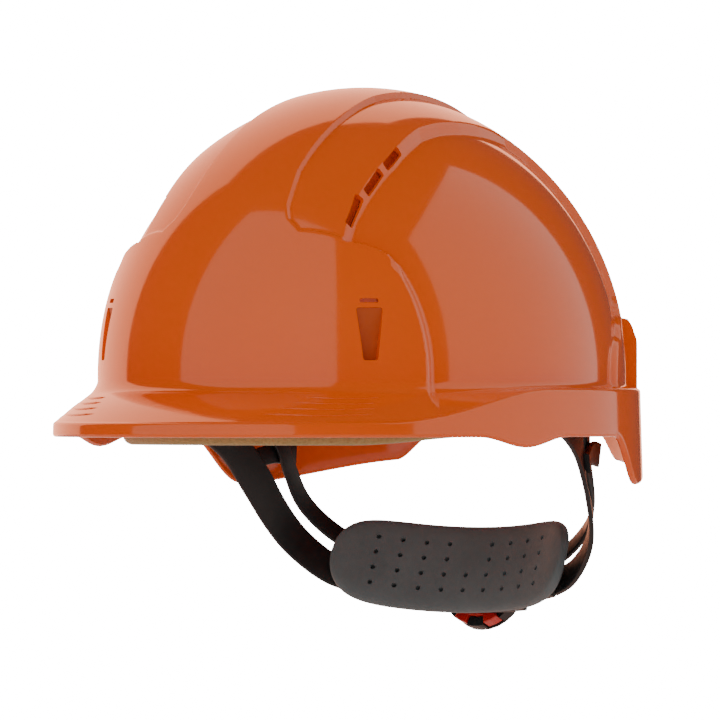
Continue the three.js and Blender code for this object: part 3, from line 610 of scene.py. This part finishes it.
def recess_frame(side):
    """Where a recess lies: its origin is the floor's lower edge, +Z outwards, +Y up the floor."""
    azimuth, facing = math.radians(RECESS["azimuth"]), math.radians(RECESS["facing"])
    surface = float(oval(azimuth, DOME[0], DOME[1]))
    reach = math.hypot(DOME[0] * math.sin(facing), DOME[1] * math.cos(facing))
    sink = reach * (1 - math.sqrt(1 - ((RECESS["high"] - CENTRE[2]) / DOME[2]) ** 2))
    lean = math.atan2(sink - RECESS["depth"], RECESS["high"] - RECESS["low"])
    place = Vector((surface * math.sin(side * azimuth), CENTRE[1] - surface * math.cos(azimuth),
                    RECESS["low"]))
    place -= Vector((math.sin(side * facing), -math.cos(facing), 0)) * RECESS["depth"]
    return (Matrix.Translation(place * MM) @ Matrix.Rotation(side * facing, 4, "Z")
            @ Matrix.Rotation(math.pi / 2 - lean, 4, "X"))


def prism_tool(name, outline, low, high, matrix, flare=0.0, dip=0.0):
    """A prism on an outline, wider at its high end by flare; dip tilts its low face down towards y = 0."""
    count = len(outline)
    mid = np.mean(outline, axis=0)
    top = max(y for x, y in outline)
    points = [(x, y, low - dip * (1 - y / top)) for x, y in outline]
    points += [(mid[0] + (x - mid[0]) * (1 + flare), mid[1] + (y - mid[1]) * (1 + flare), high)
               for x, y in outline]
    faces = [tuple(range(count))[::-1], tuple(range(count, 2 * count))]
    faces += [(i, (i + 1) % count, count + (i + 1) % count, count + i) for i in range(count)]
    tool = new_object(name, points, faces, None)
    tool.data.transform(matrix)
    outward(tool)
    return tool


def rounded_outline(corners, radius, steps=4):
    """A polygon with rounded corners."""
    pts = [Vector(c) for c in corners]
    out = []
    for i, p in enumerate(pts):
        a = (pts[i - 1] - p).normalized()
        b = (pts[(i + 1) % len(pts)] - p).normalized()
        half = a.angle(b) / 2
        reach = radius / math.tan(half)
        for k in range(steps + 1):
            t = k / steps
            q = (1 - t) ** 2 * (p + a * reach) + 2 * t * (1 - t) * p + t * t * (p + b * reach)
            out.append((q.x, q.y))
    return out


def paint_recess_floor_shade(shell):
    """Gives the recess floors the matt finish with its darker orange of painted shade, the rest the gloss.
    """
    mesh = shell.data
    centres = np.empty(len(mesh.polygons) * 3)
    mesh.polygons.foreach_get("center", centres)
    centres = centres.reshape(-1, 3)
    slots = np.zeros(len(centres), dtype=np.int32)
    for _, side in SIDES:
        inverse = np.array(recess_frame(side).inverted())
        x, y, z = ((centres @ inverse[:3, :3].T + inverse[:3, 3]) / MM).T
        floor = -RECESS_SINK - RECESS_DIP * (1 - y / RECESS_TALL)
        on_floor = (np.abs(z - floor) < 0.06) & (np.abs(x) < RECESS["wide"] / 2)
        slots[on_floor & (y > 0) & (y < RECESS_TALL)] = 1
    mesh.materials.clear()
    mesh.materials.append(SHELL)
    mesh.materials.append(MATT_PAINTED_SHADE_ORANGE)
    mesh.polygons.foreach_set("material_index", slots)


def build_shell():
    """The whole moulding, then its recesses, hook slots and vents cut in."""
    rings = shell_rings(*SHELL_GRID)
    rows, columns = rings.shape[:2]
    points = rings.reshape(-1, 3)
    faces = grid_faces(rows, columns)
    crown = len(points)
    top = CENTRE + (0, 0, DOME[2])
    under = CENTRE + (0, 0, DOME[2] - WALL)
    points = np.vstack([points, top, under])
    faces += [(crown, (j + 1) % columns, j) for j in range(columns)]
    last = (rows - 1) * columns
    faces += [(crown + 1, last + j, last + (j + 1) % columns) for j in range(columns)]
    shell = new_object("shell_fine", points, faces, SHELL)
    outward(shell)
    backings = [prism_tool(f"backing_{name}", BACKING, -5.2, -0.45, recess_frame(side))
                for name, side in SIDES]
    cut_out(shell, [join("recess_backings", backings)], "UNION")
    a, b = RECESS["narrow"] / 2, RECESS["wide"] / 2
    outline = rounded_outline([(-a, 0), (a, 0), (b, RECESS_TALL), (-b, RECESS_TALL)], 1.2)
    slot = rounded_outline(HOOK_SLOT, 0.5)
    tools = []
    for name, side in SIDES:
        at = recess_frame(side)
        tools.append(prism_tool(f"recess_{name}", outline, -RECESS_SINK, RECESS_REACH, at, 0.04, RECESS_DIP))
        tools.append(prism_tool(f"hook_slot_{name}", slot, -6, RECESS_REACH, at))
        for k, (y, z, lean) in enumerate(VENTS):
            size = (26, VENT_LONG - VENT_TAPER * k, VENT_WIDE)
            tools.append(box_tool(f"vent_{name}_{k}", size, (side * VENT_X, y, z), lean))
    cut_out(shell, [join("shell_cutters", tools)])
    # the recess floors take the matt orange darkened with painted shade
    paint_recess_floor_shade(shell)
    soften(shell, 30)
    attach(shell, "shell_body")
    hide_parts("shell")


build_shell()


def vent_baffles():
    """Upright vanes a few millimetres behind the vent slots."""
    plates = []
    for name, side in SIDES:
        for k, (y, z, lean) in enumerate(VENTS):
            rise = 3 * math.tan(math.radians(lean))
            at = (side * (43.2 - 0.8 * k), y + 3, z + rise - 2.6)
            plates.append(box_tool(f"vane_{name}_{k}", (1.4, 14, 8), at, lean))
    piece = join("vent_vanes", plates)
    piece.data.materials.append(SHELL)
    soften(piece, 40)
    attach(piece, "shell_body")


vent_baffles()


def rail(name, line, width, height):
    """A low moulded rib along a line of (point, outward normal) pairs, in millimetres."""
    sections = []
    for i, (point, normal) in enumerate(line):
        before, after = line[max(i - 1, 0)][0], line[min(i + 1, len(line) - 1)][0]
        along = (after - before) / np.linalg.norm(after - before)
        across = np.cross(normal, along)
        shrink = min(1.0, 0.15 + 0.85 * min(i, len(line) - 1 - i) / 3)
        section = []
        for k in range(9):
            a = math.pi * k / 8
            section.append(point + across * (width / 2 * shrink * math.cos(a))
                           + normal * (height * shrink * math.sin(a) - 0.05))
        section.append(point - across * width / 2 * shrink - normal * 0.6)
        section.append(point + across * width / 2 * shrink - normal * 0.6)
        sections.append(section)
    piece = sweep(name, sections, SHELL)
    soften(piece, 60)
    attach(piece, "shell_body")


def peak_point(angle, share):
    """A point on the peak's upper face: share 0 at the dome, 1 at the lip."""
    angle = np.asarray(angle, float)
    radius = oval(angle, DOME[0], DOME[1])
    brim = brim_radius(angle)
    r = radius + (brim - radius) * share
    fillet = np.minimum(FILLET, (brim - radius) * 0.45)
    t = np.clip((r - radius - fillet) / (brim - LIP_ROUND - radius - fillet), 0, 1)
    z = mix(LEDGE, lip_top(angle), share) + 0.55 * np.sin(np.pi * t) * smooth(brim - radius, 8, 30)
    return ring(r, angle, z)


def peak_ribs():
    """Four fine curved ribs on each side of the peak."""
    for name, side in SIDES:
        for k in range(4):
            spread = np.linspace(0, 1, 22)
            angles = np.radians(mix(22.5 - 2.0 * k, 36.5 - 0.6 * k, spread)) * side
            shares = 0.27 + 0.155 * k + 0.04 * np.sin(np.pi * spread)
            line = []
            for angle, share in zip(angles, shares):
                p = peak_point(angle, share)
                pa = peak_point(angle + 0.01 * side, share) - p
                pb = peak_point(angle, share + 0.02) - p
                normal = np.cross(pb, pa)
                normal /= np.linalg.norm(normal)
                if normal[2] < 0:
                    normal = -normal
                line.append((p, normal))
            rail(f"peak_rib_{name}_{k + 1}", line, 0.8, 0.55)


peak_ribs()

# ------------------------------------------------------------------ headband and sweatband


def band_point(angle, out, z):
    """A point at a distance outside the headband's outer face."""
    s, c = math.sin(angle), math.cos(angle)
    normal = np.array([s / BAND["x"], -c / BAND["y"], 0.0])
    normal /= np.linalg.norm(normal)
    base = np.array([BAND["x"] * s, BAND["centre"] - BAND["y"] * c, z])
    return base + normal * out


def edge_rise(degrees):
    """How far the band's lower edge rises towards the temples."""
    return 3.4 * float(smooth(abs(degrees), 40, 74))


def band_sweep(name, profile, end, steps, material):
    """A section of (out, height) points, or a function of degrees that gives it, run round the headband."""
    sections = []
    for i in range(steps + 1):
        degrees = mix(-end, end, i / steps)
        rise = edge_rise(degrees)
        row = []
        for out, z in profile(degrees) if callable(profile) else profile:
            lift = rise * float(1 - smooth(z, 3, 7))
            row.append(band_point(math.radians(degrees), out, z + lift))
        sections.append(row)
    return sweep(name, sections, material)


def build_headband():
    low, high, wall = BAND["low"], BAND["high"], BAND["wall"]
    profile = round_rect(wall, high - low, 0.55) + (-wall / 2, (high + low) / 2)
    band = band_sweep("headband_fine", [tuple(p) for p in profile], 104.5, 150, BLACK)
    tools = []
    for name, side in SIDES:
        temple = (side * 85, TEMPLE_PIN["y"], TEMPLE_PIN["z"])
        tools.append(box_tool(f"temple_{name}", (60, 6.6, 6.6), temple))
        for k in range(5):
            tools.append(box_tool(f"size_slot_{name}_{k}", (60, 2.4, 7), (side * 82, -24 - 9 * k, 15)))
    cut_out(band, tools)
    soften(band)
    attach(band, "headband_body")
    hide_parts("headband")


def build_sweatband():
    """Foam folded round the lower edge of the headband, thick inside and thin outside."""
    bar = BAND["wall"]

    def profile(degrees):
        swell = 0.1 * math.sin(math.radians(degrees) * 21)
        outer = [(1.7 + swell * 0.3, 8.4), (1.75, 5.0), (1.7, 1.0), (1.3, -1.4), (0.3, -2.8), (-1.2, -3.35),
                 (-2.8, -3.2), (-4.2, -2.2), (-5.0, -0.2), (-5.3, 3.0), (-5.4 - swell, 8.0),
                 (-5.35 + swell, 14.0), (-5.2, 19.0), (-4.6, 22.6), (-3.6, 23.8), (-2.2, 23.7)]
        back = [(-bar - 0.3, 22.8), (-bar - 0.3, 12), (-bar - 0.3, 2.0), (-bar - 0.3, -1.6),
                (-bar - 0.1, -2.15), (-0.4, -2.2), (0.2, -2.0), (0.3, -1.2), (0.3, 3.0), (0.32, 8.3),
                (0.8, 9.0), (1.35, 9.0)]
        return outer + back

    band = band_sweep("sweatband_foam", profile, 74, 170, FOAM)
    sub = band.modifiers.new("smooth", "SUBSURF")
    sub.levels = sub.render_levels = 1
    apply_all(band)
    soften(band, 75)
    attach(band, "headband_body")
    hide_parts("sweatband")


def sweat_stitches():
    """Stitches through the outer flap of the sweatband."""
    stitches = []
    for i in range(-46, 47):
        middle = math.radians(i * 1.55)
        a = band_point(middle - 0.0075, 1.85, 7.3)
        b = band_point(middle + 0.0075, 1.85, 7.3)
        along = (b - a) / np.linalg.norm(b - a)
        up = np.array([0, 0, 1.0])
        out = np.cross(along, up)
        rows = []
        for t in np.linspace(0, 1, 7):
            centre = mix(a, b, t) + out * 0.28 * (math.sin(math.pi * t) - 0.45)
            rows.append([centre + (out * math.cos(q) + up * math.sin(q)) * 0.2
                         for q in np.linspace(0, 2 * math.pi, 7)[:-1]])
        stitches.append(sweep(f"stitch_{i}", rows, TEXTILE))
    piece = join("sweatband_stitches", stitches)
    soften(piece, 60)
    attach(piece, "headband_body")


build_headband()
build_sweatband()
sweat_stitches()

# ------------------------------------------------------------------ nape harness


def arm_radius(degrees, z):
    """Radius of the arms' outer face: it draws in above the temples."""
    above = mix(RACK_RADIUS, 88.0, smooth(z, -8, 36))
    return mix(RACK_RADIUS, above, smooth(degrees, 38, 60))


def ribbon(name, path, side, lift, wall, steps):
    """A flat moulded strap on the arms' surface; path rows are (angle from the nape, height, width)."""
    curve = curve_through(path, steps)
    scale = math.radians(1) * RACK_RADIUS
    sections = []
    for i, (degrees, z, width) in enumerate(curve):
        step = curve[min(i + 1, len(curve) - 1)] - curve[max(i - 1, 0)]
        along = np.array([step[0] * scale, step[1]])
        along /= np.linalg.norm(along)
        row = []
        for u, v in round_rect(width, wall, 0.7, 3):
            a = degrees - u * along[1] / scale
            h = z + u * along[0]
            radius = float(arm_radius(a, h)) - RACK_WALL / 2 + lift + wall / 2 + v
            q = side * math.radians(a)
            row.append((radius * math.sin(q), radius * math.cos(q), h))
        sections.append(row)
    return at_nape(sweep(name, sections, BLACK))


# Rows of (degrees from the nape, height, width) in the nape frame.
ARM_START = math.degrees((48 + 1.4) / RACK_RADIUS)
ARM_PATH = [
    (ARM_START, -6.9, 12.2), (36, -5, 12.8), (45, 2, 13.2), (53.2, 11.2, 13.5), (61, 20.3, 13.8),
    (71, 30, 14.5), (80, 34.2, 16), (89.6, 35, 16), (101, 35, 15),
]
STRUT_PATH = [
    (ARM_START, 5.2, 7), (35.3, 9.3, 7.4), (41, 14, 7.4), (47.2, 20.6, 7.4), (52.5, 29.5, 7.4),
    (57.3, 38.2, 7.4), (63, 45, 7.4), (70, 48.4, 7.4), (77, 48.4, 7.4),
]
BRIDGE_PATH = [(66, 26.5, 8), (62, 30.5, 8), (58, 34.5, 8.6), (54, 37, 10), (51.5, 38, 10)]


def arc_sweep(name, profile, start, end, steps, material):
    """A section of (radius, height) points turned about the nape axis, from +Y towards +X."""
    rows = []
    for a in np.radians(np.linspace(start, end, steps + 1)):
        rows.append([(r * math.sin(a), r * math.cos(a), z) for r, z in profile])
    return at_nape(sweep(name, rows, material))


def build_arms():
    for name, side in SIDES:
        body = f"{name}_arm_body"
        arm = ribbon(f"{name}_arm_fine", ARM_PATH, side, 0, RACK_WALL, 12)
        ends = sorted((side * 84.7, side * 97.7))
        slot = [(80, 31.7), (95, 31.7), (95, 38.3), (80, 38.3)]
        cut_out(arm, [arc_sweep("slot", slot, *ends, 10, None)])
        strut = ribbon(f"{name}_strut_fine", STRUT_PATH, side, 0, RACK_WALL, 12)
        bridge = ribbon(f"{name}_bridge_fine", BRIDGE_PATH, side, RACK_WALL + 0.3, 2.2, 8)
        for piece, node in ((arm, f"{name}_arm"), (strut, f"{name}_strut"), (bridge, f"{name}_bridge")):
            soften(piece, 40)
            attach(piece, body)
            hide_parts(node)


PAD = dict(inner=90.0, outer=96.0, half=18.7, end=37.7)


def build_nape_pad():
    """A soft crescent pad with rounded edges and rows of small holes."""
    centre = (PAD["inner"] + PAD["outer"]) / 2
    half_wall = (PAD["outer"] - PAD["inner"]) / 2
    rows = []
    for t in np.linspace(-1, 1, 91):
        angle = math.radians(PAD["end"]) * math.sin(t * math.pi / 2) * 0.9995
        share = abs(angle) / math.radians(PAD["end"])
        across = math.sqrt(max(0.004, 1 - share ** 7.5))
        half = PAD["half"] * across
        full = half_wall * (0.22 + 0.78 * min(1.0, across * 1.25))
        section = []
        for k in range(40):
            a = 2 * math.pi * k / 40
            c, s = math.cos(a), math.sin(a)
            u = math.copysign(abs(c) ** 0.32, c)
            v = math.copysign(abs(s) ** 0.75, s)
            r = centre + full * v * (1 - 0.10 * u * u)
            section.append((r * math.sin(angle), r * math.cos(angle), half * u))
        rows.append(section)
    pad = at_nape(sweep("nape_pad_soft", rows, RUBBER))
    holes = []
    for row, z in enumerate((10, 3.4, -3.3, -9.9)):
        for col in range(-4, 5):
            if row < 2 and col == 0:
                continue
            bm = bmesh.new()
            bmesh.ops.create_cone(bm, cap_ends=True, segments=14, radius1=1.05 * MM, radius2=1.05 * MM,
                                  depth=8 * MM)
            turn = Matrix.Rotation(-col * 10.65 / 93, 4, "Z")
            inwards = Matrix.Rotation(math.pi / 2, 4, "X")
            bm.transform(turn @ Matrix.Translation(Vector((0, 90.2, z)) * MM) @ inwards)
            holes.append(at_nape(from_bmesh("hole", bm)))
    cut_out(pad, [join("holes", holes)])
    soften(pad, 40)
    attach(pad, "cradle")
    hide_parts("nape_pad")


build_arms()
build_nape_pad()


def build_housing():
    """Ribbed wings on the ratchet housing, both sides of the knob."""
    ribs = []
    for _, side in SIDES:
        for k in range(7):
            a = math.degrees(side * (19 + 1.05 * k) / RACK_RADIUS)
            for z0, z1 in ((-14.9, -3.4), (-2.0, 9.5)):
                profile = [(102.5, z0), (103.3, z0 + 0.4), (103.3, z1 - 0.4), (102.5, z1)]
                ribs.append(arc_sweep("rib", profile, a - 0.17, a + 0.17, 1, BLACK))
    piece = join("housing_ribs", ribs)
    soften(piece)
    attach(piece, "cradle")


build_housing()

# ------------------------------------------------------------------ crown cradle


def build_straps():
    """Woven crown straps with rounded edges, on the CAD's own shapes."""
    for node in ("crown_strap_a", "crown_strap_b", "crown_strap_cross"):
        source = frame["nodes"][node]
        piece = bpy.data.objects.new(f"{node}_woven", source.data.copy())
        bpy.context.scene.collection.objects.link(piece)
        piece.data.materials.clear()
        piece.data.materials.append(TEXTILE)
        bm = bmesh.new()
        bm.from_mesh(piece.data)
        bmesh.ops.remove_doubles(bm, verts=bm.verts, dist=1e-6)
        bmesh.ops.dissolve_limit(bm, angle_limit=math.radians(1), verts=bm.verts, edges=bm.edges)
        bm.to_mesh(piece.data)
        bm.free()
        bevelled(piece, 0.35, 2, 50)
        apply_all(piece)
        soften(piece, 50)
        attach(piece, "shell_body")
        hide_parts(node)


build_straps()

# ------------------------------------------------------------------ pieces kept from the CAD

SLOT_FINISH = {
    "shell": SHELL, "black_plastic": BLACK, "textile": TEXTILE, "sweatband": FOAM,
    "nape_pad": RUBBER, "knob": RED, "steel": STEEL,
}
NODE_FINISH = {row["node"]: SLOT_FINISH[row["material_slot"]] for row in frame["record"]["subparts"]}

for node_name, node in frame["nodes"].items():
    for mat_slot in node.material_slots:
        mat_slot.link = "OBJECT"
        mat_slot.material = NODE_FINISH[node_name]
    if not node.material_slots:
        node.data.materials.append(NODE_FINISH[node_name])
    if node.hide_render:
        continue
    weld = node.modifiers.new("weld", "WELD")
    weld.merge_threshold = 2e-6
    round_off = bevelled(node, 0.3 if "knob" not in node_name else 0.45, 2, 28)
    round_off.harden_normals = True

# ------------------------------------------------------------------ studio


def plain(name, colour, rough):
    n = Nodes(name)
    speck = n.ramp(n.noise(14, 3), [(0.2, tuple(c * 0.985 for c in colour)), (0.8, colour)])
    n.shader.inputs["Roughness"].default_value = rough
    return n.finish(speck)


FLOOR_Z = -0.30     # metres
corners = [(x, y, FLOOR_Z) for x, y in ((-4, -4), (4, -4), (4, 4), (-4, 4))]
floor = new_object("floor", corners, [(0, 1, 2, 3)], plain("floor_pale", (0.86, 0.86, 0.86), 0.7), scale=1.0)

# The backdrop is white to the eye, and dim in reflections so that the softboxes show as crisp shapes.
world = bpy.data.worlds.new("studio")
bpy.context.scene.world = world
world.use_nodes = True
sky = world.node_tree
back = sky.nodes["Background"]
back.inputs["Color"].default_value = (1, 1, 1, 1)
path = sky.nodes.new("ShaderNodeLightPath")
level = sky.nodes.new("ShaderNodeMapRange")
level.inputs["To Min"].default_value = 0.07
level.inputs["To Max"].default_value = 18.0
sky.links.new(path.outputs["Is Camera Ray"], level.inputs["Value"])
sky.links.new(level.outputs["Result"], back.inputs["Strength"])

AZIMUTH = math.radians(33)                      # of the camera, from the front to the wearer's left
CAMERA_ACROSS, CAMERA_AWAY, CAMERA_UP = -0.0008, 8.0, 0.0312


def studio_point(across, towards, up):
    """A point in metres across to the picture's right, towards the camera, and up."""
    right = Vector((math.cos(AZIMUTH), math.sin(AZIMUTH), 0))
    near = Vector((math.sin(AZIMUTH), -math.cos(AZIMUTH), 0))
    return right * across + near * towards + Vector((0, 0, up))


def softbox(name, place, aim, size, radiance, glossy=True, tint=(1, 1, 1)):
    """A rectangular light, seen in reflections only if it is glossy."""
    data = bpy.data.lights.new(name, "AREA")
    data.color = tint
    data.shape = "RECTANGLE"
    data.size, data.size_y = size
    data.energy = radiance * math.pi * size[0] * size[1]
    light = bpy.data.objects.new(name, data)
    bpy.context.scene.collection.objects.link(light)
    light.location = place
    light.rotation_euler = (Vector(aim) - Vector(place)).to_track_quat("-Z", "Y").to_euler()
    light.visible_camera = False
    light.visible_glossy = glossy


def standing_box(name, azimuth, distance, low, size, radiance, glossy=True, tint=(1, 1, 1)):
    """An upright softbox at an azimuth from the camera's direction, positive to the picture's right."""
    turn = math.radians(azimuth)
    height = low + size[1] / 2
    place = studio_point(distance * math.sin(turn), distance * math.cos(turn), height)
    softbox(name, place, (0, 0, height), size, radiance, glossy, tint)


standing_box("left_box", -33.5, 1.8, -0.45, (3.3, 4.6), 0.85, tint=(1, 0.94, 0.88))
standing_box("right_box", 95.5, 1.8, -0.45, (2.86, 3.3), 0.95, tint=(1, 0.9, 0.82))
standing_box("left_rear_box", -158, 1.8, -0.45, (2.75, 3.4), 2.9, tint=(1, 0.37, 0.21))
standing_box("front_fill", 12, 2.6, -0.6, (2.6, 2.6), 0.65, glossy=False)
standing_box("rear_fill", 195, 2.6, 0.0, (2.8, 2.4), 0.6, glossy=False)
softbox("top_fill", (0, 0, 2.9), (0, 0, 0), (3.6, 3.6), 0.35, glossy=False)

camera_data = bpy.data.cameras.new("photo_camera")
camera_data.lens = 980
camera_data.sensor_width = 36
camera_data.clip_end = 100
camera = bpy.data.objects.new("photo_camera", camera_data)
bpy.context.scene.collection.objects.link(camera)
camera.location = studio_point(CAMERA_ACROSS, CAMERA_AWAY, CAMERA_UP)
aim = studio_point(CAMERA_ACROSS, 0, CAMERA_UP)
camera.rotation_euler = (aim - camera.location).to_track_quat("-Z", "Y").to_euler()
bpy.context.scene.camera = camera
